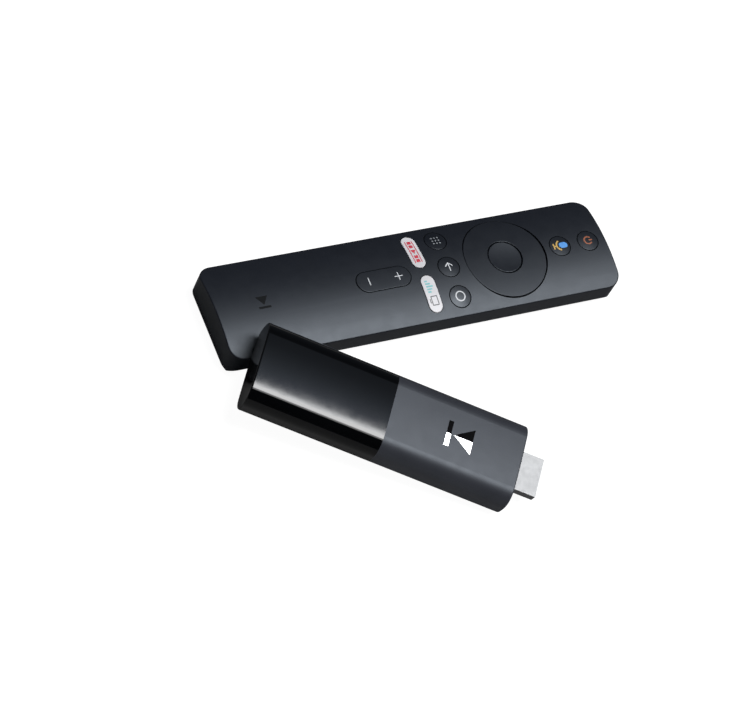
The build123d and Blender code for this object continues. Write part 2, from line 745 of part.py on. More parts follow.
# Name, level it stands on, size, places, thickness and softened edge of each flat package.
packages = [
    ("processor", main_board_top, (14.0, 14.0), [shield_place], 1.2, 0.15),
    ("thermal_pad", processor_top, (12.0, 12.0), [shield_place], pad_top - processor_top, 0.1),
    ("memory_chips", main_board_bottom, (9.0, 11.0), [(6.3, 0), (18.7, 0)], -1.0, 0.15),
    ("flash_chip", main_board_bottom, (11.5, 13.0), [(-24.5, 0)], -1.0, 0.15),
    ("wifi_module", main_board_top, (12.0, 12.0), [(-29.5, -4.5)], 1.5, 0.15),
    ("power_inductors", main_board_top, (4.0, 4.0), [(-14.5, -7.5), (-14.5, -2.0)], 1.8, 0.4),
    ("status_led", main_board_top, (1.6, 1.2), [(led_x, 11.3)], 1.5, 0.1),
]
for name, level, size, places, thickness, soften in packages:
    save(chips(level, size, places, thickness, soften), name, stick_pose)

upper_shield = shield_can(main_board_top, (26.0, 20.0), shield_place, shield_top - main_board_top)
lower_shield = shield_can(main_board_bottom, (25.0, 13.0), (12.5, 0), -1.8)
save(upper_shield, "upper_shield", stick_pose)
save(lower_shield, "lower_shield", stick_pose)

with BuildPart() as heat_spreader:
    with BuildSketch(Plane.XY.offset(shield_top)):
        with Locations((12.0, 0)):
            RectangleRounded(46.0, 19.0, 1.5)
    extrude(amount=1.5)
    with BuildSketch(Plane.XY.offset(shield_top + 0.9)):
        with Locations((12.0, 0)):
            with GridLocations(1, 3.0, 1, 5):
                Rectangle(46.0, 1.4)
    extrude(amount=1.0, mode=Mode.SUBTRACT)
save(heat_spreader.part, "heat_spreader", stick_pose)

with BuildPart() as antennas:
    for side in (1, -1):
        with BuildSketch(Plane.XY.offset(main_board_top)):
            with Locations((-41.35, side * 8.0)):
                Rectangle(0.3, 7.0)
        extrude(amount=5.0)
        with BuildSketch(Plane.XY.offset(main_board_top + 4.7)):
            with Locations((-39.5, side * 8.0)):
                Rectangle(4.0, 7.0)
        extrude(amount=0.3)
save(antennas.part, "antennas", stick_pose)

with BuildPart() as light_pipe:
    with BuildSketch(Plane.XZ.offset(-stick_width / 2 + 0.05)):
        with Locations((led_x, led_z)):
            Circle(0.7)
    extrude(amount=3.1)
save(light_pipe.part, "light_pipe", stick_pose)

# ================================================================ stick: sockets and plug
usb_mouth = 14.2
with BuildPart() as usb_shell:
    with BuildSketch(Plane.XZ.offset(-usb_mouth)):
        with Locations((usb_x, usb_z)):
            RectangleRounded(usb_width, usb_height, 0.7)
            RectangleRounded(usb_width - 0.6, usb_height - 0.6, 0.4, mode=Mode.SUBTRACT)
    extrude(amount=usb_depth)
save(usb_shell.part, "usb_shell", stick_pose)

with BuildPart() as usb_tongue:
    with BuildSketch(Plane.XZ.offset(usb_depth - usb_mouth - 1.0)):
        with Locations((usb_x, usb_z)):
            RectangleRounded(usb_width - 0.7, usb_height - 0.7, 0.35)
    extrude(amount=1.0)
    with BuildSketch(Plane.XZ.offset(0.6 - usb_mouth)):
        with Locations((usb_x, usb_z + 0.25)):
            Rectangle(3.9, 0.6)
    extrude(amount=usb_depth - 1.0)
save(usb_tongue.part, "usb_tongue", stick_pose)


def plug_section(inset=0.0, mode=Mode.ADD):
    """Outline of the HDMI plug: flat top, lower corners cut away."""
    half, high = plug_width / 2 - inset, plug_height / 2 - inset
    cut = plug_chamfer - 0.4 * inset
    right = [(half, high), (half, cut - high), (half - cut, -high)]
    left = [(-y, z) for y, z in reversed(right)]
    with Locations((0, plug_drop)):
        Polygon(*right, *left, align=None, mode=mode)


plug_tip = half_length + plug_reach
plug_rear = main_board_front + 0.3
slot_depth, slot_width, slot_height = 8.0, 11.6, 1.9
with BuildPart() as plug_shell:
    with BuildSketch(Plane.YZ.offset(plug_rear)):
        plug_section()
        plug_section(plug_skin, mode=Mode.SUBTRACT)
    extrude(amount=plug_tip - plug_rear)
    # Latch windows in the lower face.
    with BuildSketch(Plane.XY.offset(plug_drop - plug_height)):
        with Locations((plug_tip - 4.6, 2.6), (plug_tip - 4.6, -2.6)):
            Rectangle(2.0, 1.8)
    extrude(amount=plug_height, mode=Mode.SUBTRACT)
save(plug_shell.part, "plug_shell", stick_pose)

with BuildPart() as plug_insulator:
    with BuildSketch(Plane.YZ.offset(plug_rear + 0.2)):
        plug_section(plug_skin + 0.05)
    extrude(amount=plug_tip - plug_rear - 0.8)
    with BuildSketch(Plane.YZ.offset(plug_tip - 0.6)):
        with Locations((0, plug_drop)):
            Rectangle(slot_width, slot_height)
    extrude(amount=-slot_depth, mode=Mode.SUBTRACT)
save(plug_insulator.part, "plug_insulator", stick_pose)

with BuildPart() as plug_contacts:
    with BuildSketch(Plane.YZ.offset(plug_tip - 0.9)):
        with Locations(*[(i - 4.5, plug_drop + slot_height / 2 - 0.1) for i in range(10)]):
            Rectangle(0.4, 0.2)
        with Locations(*[(i - 4.0, plug_drop - slot_height / 2 + 0.1) for i in range(9)]):
            Rectangle(0.4, 0.2)
    extrude(amount=-(slot_depth - 0.5))
save(plug_contacts.part, "plug_contacts", stick_pose)
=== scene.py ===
"""Looks for a streaming stick and its remote control: finishes, printed marks, floor, light, camera."""

import math

import bmesh
import bpy
from mathutils import Matrix, Vector
from mathutils.bvhtree import BVHTree


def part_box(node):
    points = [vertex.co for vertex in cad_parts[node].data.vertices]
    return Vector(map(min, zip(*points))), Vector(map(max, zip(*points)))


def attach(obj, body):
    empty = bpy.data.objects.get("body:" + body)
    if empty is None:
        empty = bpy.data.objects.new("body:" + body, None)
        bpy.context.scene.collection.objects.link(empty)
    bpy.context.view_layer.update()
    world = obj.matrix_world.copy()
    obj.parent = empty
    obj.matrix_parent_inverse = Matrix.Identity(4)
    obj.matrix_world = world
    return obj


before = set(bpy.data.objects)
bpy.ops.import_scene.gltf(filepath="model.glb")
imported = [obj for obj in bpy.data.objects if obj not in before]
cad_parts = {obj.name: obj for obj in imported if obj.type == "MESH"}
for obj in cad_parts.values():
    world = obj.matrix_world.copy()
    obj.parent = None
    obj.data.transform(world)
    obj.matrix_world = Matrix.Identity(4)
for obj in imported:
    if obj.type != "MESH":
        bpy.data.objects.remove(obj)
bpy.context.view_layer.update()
MM = 0.001

# How the stick lies, as in the CAD model: its middle, its heading and its lean.
STICK_CENTRE = Vector((-32.97, -49.72, 13.446)) * MM
STICK_HEADING, STICK_LEAN = math.radians(-34.0), math.radians(10.467)
STICK_HEIGHT, STICK_CROWN_RADIUS = 15.2, 200.0  # millimetres


# ================================================================ shared helpers
def feed(tree, socket, value):
    """Sets an input socket to a value, or links it when the value is another node's output."""
    if isinstance(value, bpy.types.NodeSocket):
        tree.links.new(value, socket)
    else:
        socket.default_value = value


def add_node(tree, kind, inputs=None, **settings):
    """A new node with its settings made, and its inputs fed by name or by number."""
    made = tree.nodes.new(kind)
    for setting, value in settings.items():
        setattr(made, setting, value)
    for key, value in (inputs or {}).items():
        feed(tree, made.inputs[key], value)
    return made


def add_object(name, data):
    """A new object, in the scene."""
    made = bpy.data.objects.new(name, data)
    bpy.context.scene.collection.objects.link(made)
    return made


def placement(x_axis, y_axis, z_axis, origin):
    """The matrix with these axes and this origin."""
    matrix = Matrix((x_axis, y_axis, z_axis)).transposed().to_4x4()
    matrix.translation = origin
    return matrix


# ================================================================ finishes
class Finish:
    """A procedural material being built: its shader, and nodes placed by the object's own coordinates."""

    def __init__(self, name, colour, roughness, metallic=0.0):
        self.material = bpy.data.materials.get(name) or bpy.data.materials.new(name)
        self.material.use_nodes = True
        self.tree = self.material.node_tree
        self.tree.nodes.clear()
        self.shader = self.node("ShaderNodeBsdfPrincipled")
        self.node("ShaderNodeOutputMaterial", {"Surface": self.shader.outputs["BSDF"]})
        self.place = self.node("ShaderNodeTexCoord").outputs["Object"]
        self.colour = colour
        self.set("Base Color", (*colour, 1))
        self.set("Roughness", roughness)
        self.set("Metallic", metallic)

    def node(self, kind, inputs=None, **settings):
        """A new node of this material."""
        return add_node(self.tree, kind, inputs, **settings)

    def set(self, name, value):
        """Feeds one of the shader's sockets."""
        feed(self.tree, self.shader.inputs[name], value)

    def noise(self, size, detail=2.0, stretch=(1, 1, 1), twist=0.0):
        """Noise from 0 to 1 whose blotches are about size millimetres across."""
        place = self.node("ShaderNodeMapping", {"Vector": self.place, "Scale": stretch}).outputs["Vector"]
        inputs = {"Vector": place, "Scale": 1 / (size * MM), "Detail": detail, "Distortion": twist}
        return self.node("ShaderNodeTexNoise", inputs).outputs["Fac"]

    def span(self, value, low, high, start=0.3, end=0.7):
        """Maps value, from start to end, smoothly onto low to high."""
        inputs = {"Value": value, "From Min": start, "From Max": end, "To Min": low, "To Max": high}
        return self.node("ShaderNodeMapRange", inputs, interpolation_type="SMOOTHSTEP").outputs["Result"]

    def blend(self, share, first, second):
        """The first colour where share is 0 and the second where it is 1."""
        mixed = self.node("ShaderNodeMix", {"Factor": share}, data_type="RGBA")
        # This node has sockets of every data type, so the colour ones are picked out.
        colour_inputs = [socket for socket in mixed.inputs if socket.type == "RGBA"]
        for socket, colour in zip(colour_inputs, (first, second)):
            if not isinstance(colour, bpy.types.NodeSocket):
                colour = (*colour, 1)
            feed(self.tree, socket, colour)
        return [socket for socket in mixed.outputs if socket.type == "RGBA"][0]

    def mottle(self, size, amount):
        """Lightens and darkens the base colour by up to amount, as a share of it, in soft blotches."""
        darker = [c * (1 - amount) for c in self.colour]
        lighter = [c * (1 + amount) for c in self.colour]
        blotches = self.blend(self.span(self.noise(size, detail=3.0), 0, 1), darker, lighter)
        self.set("Base Color", blotches)
        return blotches

    def polish(self, size, low, high, stretch=(1, 1, 1)):
        """Lets the roughness wander between low and high."""
        self.set("Roughness", self.span(self.noise(size, 3.0, stretch, twist=0.4), low, high))

    def grain(self, height, depth):
        """Raises the surface by a height field, by up to depth millimetres."""
        bump = self.node("ShaderNodeBump", {"Height": height, "Distance": depth * MM, "Strength": 1.0})
        self.set("Normal", bump.outputs["Normal"])


def moulded(name, colour, roughness, grain_size=0.16, grain_depth=0.004, level=0.5, scuffs=None):
    """Fine-textured moulded plastic, a little uneven in colour and polish, with small scuffs if given."""
    finish = Finish(name, colour, roughness)
    body = finish.mottle(size=9.0, amount=0.07)
    if scuffs is not None:
        specks = finish.span(finish.noise(0.35, detail=4.0), 0, 1, start=0.74, end=0.80)
        finish.set("Base Color", finish.blend(specks, body, scuffs))
    wander = 0.015
    finish.polish(4.0, roughness - wander, roughness + wander)
    finish.set("Specular IOR Level", level)
    finish.grain(finish.noise(grain_size), grain_depth)
    return finish


COOL_SHINE = (0.83, 0.91, 1.0, 1.0)  # the charcoal's shine is a little blue


def remote_plastic():
    """Charcoal satin plastic of the remote's shells, with faint lighter specks where it has been handled."""
    colour, scuffs = (0.0025, 0.0033, 0.0068), (0.009, 0.011, 0.016)
    finish = moulded("remote_plastic", colour, 0.47, level=0.68, scuffs=scuffs)
    finish.set("Specular Tint", COOL_SHINE)


def key_plastic():
    """The keys: the same charcoal, a little smoother from fingers."""
    colour, scuffs = (0.0022, 0.0030, 0.0062), (0.008, 0.010, 0.014)
    finish = moulded("key_plastic", colour, 0.45, level=0.62, scuffs=scuffs)
    finish.set("Specular Tint", COOL_SHINE)


def white_key_plastic():
    """Off-white plastic of the two long keys, a little soft to the light."""
    finish = moulded("white_key_plastic", (0.63, 0.625, 0.65), 0.42, grain_depth=0.003)
    finish.set("Subsurface Weight", 0.05)
    finish.set("Subsurface Radius", (0.0008, 0.0007, 0.0006))
    finish.set("Subsurface Scale", 1.0)


def inner_plastic():
    """Coarser grey plastic of the pieces that nobody sees when the case is shut."""
    moulded("inner_plastic", (0.045, 0.047, 0.052), 0.62, grain_size=0.3, grain_depth=0.012)


def socket_plastic():
    """Hard black plastic that holds the contacts of the plug and the socket."""
    moulded("socket_plastic", (0.012, 0.012, 0.013), 0.38, grain_size=0.2)


def stick_gloss_plastic():
    """Piano-black cover, with faint wiping marks."""
    finish = Finish("stick_gloss_plastic", (0.0010, 0.0011, 0.0014), 0.1)
    finish.mottle(size=12.0, amount=0.1)
    finish.polish(7.0, low=0.052, high=0.072)
    finish.grain(finish.noise(0.5, detail=3.0), depth=0.00004)


def stick_matte_plastic():
    """Dark grey spark-eroded plastic of the sleeve."""
    finish = moulded(
        "stick_matte_plastic",
        (0.0265, 0.0280, 0.0350),
        roughness=0.45,
        grain_size=0.2,
        grain_depth=0.005,
        level=0.45,
        scuffs=(0.045, 0.048, 0.055),
    )
    finish.set("Specular Tint", COOL_SHINE)


def metal(name, colour, roughness, brush=(1, 1, 1), size=0.3, depth=0.003, stain=0.12, wander=0.08):
    """Bare metal with brushing or tumbling marks and a slight stain."""
    finish = Finish(name, colour, roughness, metallic=1.0)
    finish.mottle(size=3.0, amount=stain)
    finish.polish(size * 4, roughness - wander, roughness + wander, brush)
    finish.grain(finish.noise(size, 3.0, brush), depth)
    return finish


def cell_jacket():
    """Shrink-wrapped cells: a plain grey label with a dark band towards one end."""
    finish = moulded("cell_jacket", (0.30, 0.32, 0.34), 0.33, grain_size=0.5)
    band_edge, edge_blur = -33.0 * MM, 0.4 * MM
    along = finish.node("ShaderNodeSeparateXYZ", {"Vector": finish.place}).outputs["X"]
    band = finish.span(along, 1, 0, band_edge, band_edge + edge_blur)
    wrap = finish.blend(finish.noise(2.0), (0.28, 0.30, 0.32), (0.33, 0.35, 0.37))
    finish.set("Base Color", finish.blend(band, wrap, (0.02, 0.05, 0.09)))


def circuit_board():
    """Green solder resist with paler copper tracks under it and tinned pads."""
    finish = Finish("circuit_board", (0.010, 0.075, 0.035), 0.35)
    track_pitch = 1.6 * MM
    inputs = {"Vector": finish.place, "Scale": 1 / track_pitch, "Randomness": 0.55}
    cells = finish.node("ShaderNodeTexVoronoi", inputs, feature="DISTANCE_TO_EDGE", distance="MANHATTAN")
    tracks = finish.span(cells.outputs["Distance"], 1, 0, start=0.05, end=0.09)
    pads = finish.span(finish.noise(1.1, detail=0.0), 0, 1, start=0.72, end=0.75)
    resist = finish.blend(tracks, (0.008, 0.060, 0.028), (0.020, 0.130, 0.055))
    finish.set("Base Color", finish.blend(pads, resist, (0.62, 0.60, 0.52)))
    finish.set("Metallic", pads)
    finish.grain(tracks, depth=0.02)


def keypad_rubber():
    """Dull grey silicone."""
    finish = moulded("keypad_rubber", (0.10, 0.105, 0.11), 0.72, grain_size=0.25, grain_depth=0.006)
    finish.set("Sheen Weight", 0.1)


def chip_package():
    """Black moulding compound with a fine dusty grain."""
    moulded("chip_package", (0.018, 0.018, 0.019), 0.55, grain_size=0.12, grain_depth=0.006)


def capacitor_ceramic():
    """Tan ceramic bodies, unevenly fired."""
    finish = moulded("capacitor_ceramic", (0.35, 0.24, 0.15), 0.45, grain_size=0.1, grain_depth=0.003)
    finish.mottle(size=0.7, amount=0.18)


def thermal_rubber():
    """Soft blue-grey gap filler."""
    moulded("thermal_rubber", (0.25, 0.33, 0.42), 0.8, grain_size=0.3, grain_depth=0.02)


def inductor_ferrite():
    """Sintered grey ferrite."""
    moulded("inductor_ferrite", (0.06, 0.06, 0.063), 0.6, grain_size=0.15, grain_depth=0.02)


def led_lens():
    """Milky lens that lets a little light through."""
    finish = moulded("led_lens", (0.75, 0.77, 0.78), 0.3, grain_size=0.4, grain_depth=0.002)
    finish.set("Transmission Weight", 0.4)


for make_finish in (
    remote_plastic,
    key_plastic,
    white_key_plastic,
    inner_plastic,
    socket_plastic,
    stick_gloss_plastic,
    stick_matte_plastic,
    cell_jacket,
    circuit_board,
    keypad_rubber,
    chip_package,
    capacitor_ceramic,
    thermal_rubber,
    inductor_ferrite,
    led_lens,
):
    make_finish()

metal("spring_steel", (0.60, 0.60, 0.58), 0.28)
metal("dome_steel", (0.66, 0.66, 0.65), 0.22)
metal("can_steel", (0.58, 0.58, 0.57), 0.34, size=0.5)
metal("screw_steel", (0.42, 0.42, 0.43), 0.32)
metal("spreader_aluminium", (0.75, 0.76, 0.77), 0.38, brush=(0.15, 1, 1))
metal("antenna_brass", (0.72, 0.50, 0.22), 0.30)
metal("plug_steel", (0.31, 0.314, 0.32), 0.56, size=0.5, depth=0.0003, stain=0.04, wander=0.02)
metal("contact_gold", (0.88, 0.64, 0.25), 0.22)


def ink(name, colour, roughness=0.5, level=0.5):
    """Pad-printed ink, slightly mottled and rough."""
    finish = Finish(name, colour, roughness)
    finish.mottle(size=0.8, amount=0.08)
    wander = 0.05
    finish.polish(0.5, roughness - wander, roughness + wander)
    finish.set("Specular IOR Level", level)
    finish.grain(finish.noise(0.12), depth=0.001)
    return finish.material


def foil(name, colour, roughness):
    """Stamped metal foil, smoother than bare metal."""
    return metal(name, colour, roughness, depth=0.0005, stain=0.03, wander=0.03).material


pale_ink = ink("pale_ink", (0.62, 0.64, 0.67))
dim_ink = ink("dim_ink", (0.25, 0.27, 0.29))
orange_ink = ink("orange_ink", (0.30, 0.10, 0.05))
blue_ink = ink("blue_ink", (0.09, 0.30, 0.70))
amber_ink = ink("amber_ink", (0.55, 0.36, 0.10))
red_ink = ink("red_ink", (0.52, 0.045, 0.07))
teal_ink = ink("teal_ink", (0.20, 0.48, 0.50))
dark_ink = ink("dark_ink", (0.045, 0.05, 0.06))
sunk_ink = ink("sunk_ink", (0.004, 0.005, 0.006), roughness=0.6, level=0.15)
# Near-black ink with almost no shine: a painted dark reflection, for one half of the stick's mirror mark.
painted_reflection_ink = ink("painted_reflection_ink", (0.002, 0.002, 0.0025), level=0.02)
silver_foil = foil("silver_foil", (0.90, 0.91, 0.92), 0.30)


# ================================================================ outlines of the marks, in millimetres
DISC_STEPS, DOT_STEPS, OPEN_RING_STEPS, CORNER_STEPS = 32, 12, 30, 6


def arc(radius, start, end, steps):
    """Points on an arc about the origin, angles in degrees from the first axis."""
    angles = [math.radians(start + (end - start) * i / steps) for i in range(steps + 1)]
    return [(radius * math.cos(a), radius * math.sin(a)) for a in angles]


def disc(radius, steps=DISC_STEPS):
    """A round outline."""
    return arc(radius, 0, 360, steps)[:-1]


def ring(outer, inner):
    """Two round outlines, one inside the other."""
    return [disc(outer), disc(inner)]


def open_ring(outer, inner, start, end, steps=OPEN_RING_STEPS):
    """A part of a ring."""
    return [arc(outer, start, end, steps) + arc(inner, end, start, steps)]


def block(low, high, corner=0.0):
    """A rectangle, with round corners where corner is their radius."""
    if corner == 0.0:
        return [low, (high[0], low[1]), high, (low[0], high[1])]
    centres = [
        (high[0] - corner, high[1] - corner, 0),
        (low[0] + corner, high[1] - corner, 90),
        (low[0] + corner, low[1] + corner, 180),
        (high[0] - corner, low[1] + corner, 270),
    ]
    return [
        (x + u, y + v)
        for x, y, start in centres
        for u, v in arc(corner, start, start + 90, CORNER_STEPS)
    ]


def plus(reach, stroke):
    """A plus sign."""
    half = stroke / 2
    quarter = [(half, half), (half, reach), (-half, reach)]
    corners = []
    for _ in range(4):
        corners += quarter
        quarter = [(-y, x) for x, y in quarter]
    return [corners]


def arrow(length, arm, stroke):
    """An open arrow that points along the first axis."""
    half = stroke / 2
    slant = stroke / math.sqrt(2)
    upper = [(-arm, arm), (-arm - slant, arm - slant), (-2 * slant - half, half), (-length, half)]
    outline = [(0, 0)] + upper + [(x, -y) for x, y in reversed(upper)]
    return [[(x + length / 2, y) for x, y in outline]]


def power_symbol(radius, stroke):
    """A ring with a gap, and a bar that stands in the gap."""
    half_gap = 38  # degrees
    bar = block((radius * 0.15, -stroke / 2), (radius * 1.05, stroke / 2), stroke * 0.3)
    return open_ring(radius, radius - stroke, half_gap, 360 - half_gap) + [bar]


def dot_grid(pitch, radius):
    """Three rows of three dots."""
    dot = disc(radius, DOT_STEPS)
    return [[(x + i * pitch, y + j * pitch) for x, y in dot] for i in (-1, 0, 1) for j in (-1, 0, 1)]


def play_mark(size):
    """A triangle and a bar, as on the keys of any player, pointing along the first axis."""
    half = size / 2
    back, tip, bar_start, bar_end = -0.95 * half, 0.55 * half, 0.78 * half, 1.15 * half
    triangle = [(back, -half), (back, half), (tip, 0)]
    return [triangle, block((bar_start, -half), (bar_end, half))]


def film_strip():
    """Two rails with frames between them, and a small triangle in the middle."""
    half_length, rail_place, half_rail = 4.7, 1.25, 0.16
    half_width, half_height, corner = 0.72, 0.62, 0.15
    rails = [
        block((side - half_rail, -half_length), (side + half_rail, half_length))
        for side in (-rail_place, rail_place)
    ]
    frames = [
        block((-half_width, y - half_height), (half_width, y + half_height), corner)
        for y in (-3.9, -2.25, 2.25, 3.9)
    ]
    triangle = [(0, -0.95), (0.95, 0.8), (-0.95, 0.8)]
    return rails + frames + [triangle]


def level_bars():
    """Five bars side by side, as on a level meter."""
    foot, half_bar, corner = -1.3, 0.3, 0.1
    bars = ((4.5, 1.0), (3.5, 1.8), (2.5, 2.5), (1.5, 1.9), (0.5, 1.3))  # place and height of each
    return [block((foot, y - half_bar), (foot + height, y + half_bar), corner) for y, height in bars]


def turned(loops, degrees, centre=(0, 0)):
    """The outlines turned about the origin, then moved to centre."""
    c, s = math.cos(math.radians(degrees)), math.sin(math.radians(degrees))
    return [[(centre[0] + c * x - s * y, centre[1] + s * x + c * y) for x, y in loop] for loop in loops]


def clipped(loops, side):
    """The part of convex outlines on one side of the line y = 0; side is 1 or -1."""
    kept = []
    for loop in loops:
        part = []
        for (x0, y0), (x1, y1) in zip(loop, loop[1:] + loop[:1]):
            if y0 * side >= 0:
                part.append((x0, y0))
            if y0 * y1 < 0:
                share = y0 / (y0 - y1)
                part.append((x0 + (x1 - x0) * share, 0.0))
        kept.append(part)
    return kept


# ================================================================ laying the marks on the surfaces
WELD = 1e-4  # millimetres; outline points closer than this are one
FILM_DEPTH = 0.02  # millimetres that a film reaches into its surface
INK_LIFT, FOIL_LIFT = 0.02, 0.03  # millimetres that ink and foil stand proud of it
FILM_SQUARE = 0.5  # millimetres between the cuts that let a film follow the surface
RAY_START = 0.1  # metres; above every piece


def filled(loops):
    """A flat mesh of the area between the outlines."""
    curve = bpy.data.curves.new("outline", "CURVE")
    curve.dimensions = "2D"
    curve.fill_mode = "BOTH"
    for loop in loops:
        spline = curve.splines.new("POLY")
        spline.points.add(len(loop) - 1)
        for point, (x, y) in zip(spline.points, loop):
            point.co = (x, y, 0, 1)
        spline.use_cyclic_u = True
    holder = bpy.data.objects.new("outline", curve)
    mesh = bpy.data.meshes.new_from_object(holder)
    flat = bmesh.new()
    flat.from_mesh(mesh)
    bpy.data.objects.remove(holder)
    bpy.data.curves.remove(curve)
    bpy.data.meshes.remove(mesh)
    bmesh.ops.remove_doubles(flat, verts=flat.verts, dist=WELD)
    return flat


def cut_into_squares(flat, step):
    """Cuts a flat mesh along a square grid, so that it can follow a curved surface."""
    for axis in (Vector((1, 0, 0)), Vector((0, 1, 0))):
        reach = [v.co.dot(axis) for v in flat.verts]
        first, last = math.ceil(min(reach) / step), math.floor(max(reach) / step)
        for i in range(first, last + 1):
            everything = flat.verts[:] + flat.edges[:] + flat.faces[:]
            place = axis * (i * step)
            bmesh.ops.bisect_plane(flat, geom=everything, dist=WELD, plane_co=place, plane_no=axis)


def lay(name, loops, surface, body, material, lift=INK_LIFT):
    """A thin closed film of ink or foil on a surface; surface(x, y, h) is the point h above it."""
    flat = filled(loops)
    cut_into_squares(flat, FILM_SQUARE)
    flat.verts.ensure_lookup_table()
    flat.verts.index_update()
    count = len(flat.verts)  # the lower layer's points are numbered from here
    upper = [surface(v.co.x, v.co.y, lift) for v in flat.verts]
    lower = [surface(v.co.x, v.co.y, -FILM_DEPTH) for v in flat.verts]
    faces = []
    for face in flat.faces:
        corners = [v.index for v in face.verts]
        if face.normal.z < 0:
            corners.reverse()
        faces.append(corners)
        faces.append([count + i for i in reversed(corners)])
        for a, b in zip(corners, corners[1:] + corners[:1]):
            edge = flat.edges.get((flat.verts[a], flat.verts[b]))
            if len(edge.link_faces) == 1:
                faces.append([b, a, count + a, count + b])
    flat.free()
    mesh = bpy.data.meshes.new(name)
    mesh.from_pydata(upper + lower, [], faces)
    mesh.materials.append(material)
    film = add_object(name, mesh)
    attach(film, body)


def top_of(node):
    """surface(x, y, h) for the upward face of a CAD node."""
    tree = BVHTree.FromObject(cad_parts[node], bpy.context.evaluated_depsgraph_get())

    def surface(x, y, h):
        hit = tree.ray_cast(Vector((x * MM, y * MM, RAY_START)), Vector((0, 0, -1)))[0]
        return (x * MM, y * MM, hit.z + h * MM)

    return surface


def stick_axes():
    """The matrix from the stick's own axes to the row's."""
    along = Vector(
        (
            math.cos(STICK_HEADING),
            math.sin(STICK_HEADING) * math.cos(STICK_LEAN),
            math.sin(STICK_HEADING) * math.sin(STICK_LEAN),
        )
    )
    up = Vector((0, -math.sin(STICK_LEAN), math.cos(STICK_LEAN)))
    return placement(along, up.cross(along), up, STICK_CENTRE)


STICK_TO_ROW = stick_axes()


def stick_top(x, y, h):
    """surface(x, y, h) for the stick's crowned upper face, in its own axes."""
    crown = math.sqrt(STICK_CROWN_RADIUS**2 - y**2) - STICK_CROWN_RADIUS
    return STICK_TO_ROW @ (Vector((x, y, STICK_HEIGHT / 2 + crown + h)) * MM)


def middle(node):
    """Middle of a CAD node seen from above, in millimetres."""
    low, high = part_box(node)
    return ((low[0] + high[0]) / 2 / MM, (low[1] + high[1]) / 2 / MM)


def key_mark(name, key, loops, material, offset=(0, 0), degrees=0):
    """Lays outlines on a key, about its middle."""
    centre = middle(key)
    loops = turned(loops, degrees, (centre[0] + offset[0], centre[1] + offset[1]))
    lay(name, loops, top_of(key), key, material)


# ================================================================ marks on the remote
key_mark("power_mark", "power_key", power_symbol(radius=1.65, stroke=0.5), orange_ink)

MICROPHONE_CAPSULE = [block((-0.45, -1.1), (2.9, 1.1), 1.08)]
MICROPHONE_CRADLE = open_ring(outer=2.1, inner=1.55, start=105, end=255, steps=24)
MICROPHONE_STAND = [block((-2.65, -1.1), (-2.2, 1.1)), block((-2.15, -0.24), (-1.7, 0.24))]
key_mark("voice_mark_capsule", "voice_key", MICROPHONE_CAPSULE, blue_ink)
key_mark("voice_mark_cradle", "voice_key", MICROPHONE_CRADLE, amber_ink, (0.45, 0))
key_mark("voice_mark_stand", "voice_key", MICROPHONE_STAND, amber_ink)

key_mark("apps_mark", "apps_key", dot_grid(pitch=1.2, radius=0.3), dim_ink)
key_mark("back_mark", "back_key", arrow(length=3.4, arm=1.5, stroke=0.34), pale_ink, degrees=90)
key_mark("home_mark", "home_key", ring(outer=1.85, inner=1.45), pale_ink)

SIGN_REACH, SIGN_STROKE = 1.5, 0.3
MINUS = [block((-SIGN_STROKE / 2, -SIGN_REACH), (SIGN_STROKE / 2, SIGN_REACH))]
key_mark("plus_mark", "volume_rocker", plus(SIGN_REACH, SIGN_STROKE), pale_ink, (5.6, 0))
key_mark("minus_mark", "volume_rocker", MINUS, pale_ink, (-5.5, 0))

SCREEN = [block((-1.2, -1.7), (1.3, 1.7), 0.25), block((-0.9, -1.4), (1.0, 1.4), 0.1)]
SCREEN_FOOT = [block((-1.75, -0.8), (-1.45, 0.8))]
SCREEN_PLACE = (0.1, -2.7)
key_mark("film_mark", "app_key_rear", film_strip(), red_ink)
key_mark("screen_mark", "app_key_front", SCREEN, dark_ink, SCREEN_PLACE)
key_mark("screen_foot", "app_key_front", SCREEN_FOOT, dark_ink, SCREEN_PLACE)
key_mark("level_mark", "app_key_front", level_bars(), teal_ink)

remote_mark = turned(play_mark(size=4.4), -90, centre=(-57.6, 0))
lay("remote_mark", remote_mark, top_of("remote_top_shell"), "remote", sunk_ink)

# ================================================================ mark on the stick
stick_mark = turned(play_mark(size=9.0), 180, centre=(24.5, 0))
# The mark is mirror foil on the real stick. Here one half (+y) is near-black ink, a painted dark reflection,
# and the other half is silver foil.
for name, side, material in (("stick_mark_painted_reflection", 1, painted_reflection_ink), ("stick_mark_bright", -1, silver_foil)):
    lay(name, clipped(stick_mark, side), stick_top, "stick", material, FOIL_LIFT)

# ================================================================ floor
FLOOR_REACH, FLOOR_SQUARES = 4.0, 24  # metres from its middle to an edge; squares along a side
FLOOR_DROP = 0.0001  # metres that it lies beneath the object
FLOOR_OWN_LIGHT = 0.965  # nearly enough to look white without any other


def studio_floor():
    """Plain pale floor with a light of its own, which keeps shadows soft and isn't seen in reflections."""
    finish = Finish("floor_paper", (0.17, 0.17, 0.17), 0.9)
    finish.mottle(size=60.0, amount=0.01)
    finish.grain(finish.noise(2.0), depth=0.01)
    finish.set("Specular IOR Level", 0.0)
    finish.set("Emission Color", (1, 1, 1, 1))
    mirrored = finish.node("ShaderNodeLightPath").outputs["Is Glossy Ray"]
    finish.set("Emission Strength", finish.span(mirrored, FLOOR_OWN_LIGHT, 0.0, 0, 1))
    sheet = bmesh.new()
    bmesh.ops.create_grid(sheet, x_segments=FLOOR_SQUARES, y_segments=FLOOR_SQUARES, size=FLOOR_REACH)
    mesh = bpy.data.meshes.new("floor")
    sheet.to_mesh(mesh)
    sheet.free()
    mesh.materials.append(finish.material)
    floor = add_object("floor", mesh)
    floor.location.z = -FLOOR_DROP


studio_floor()

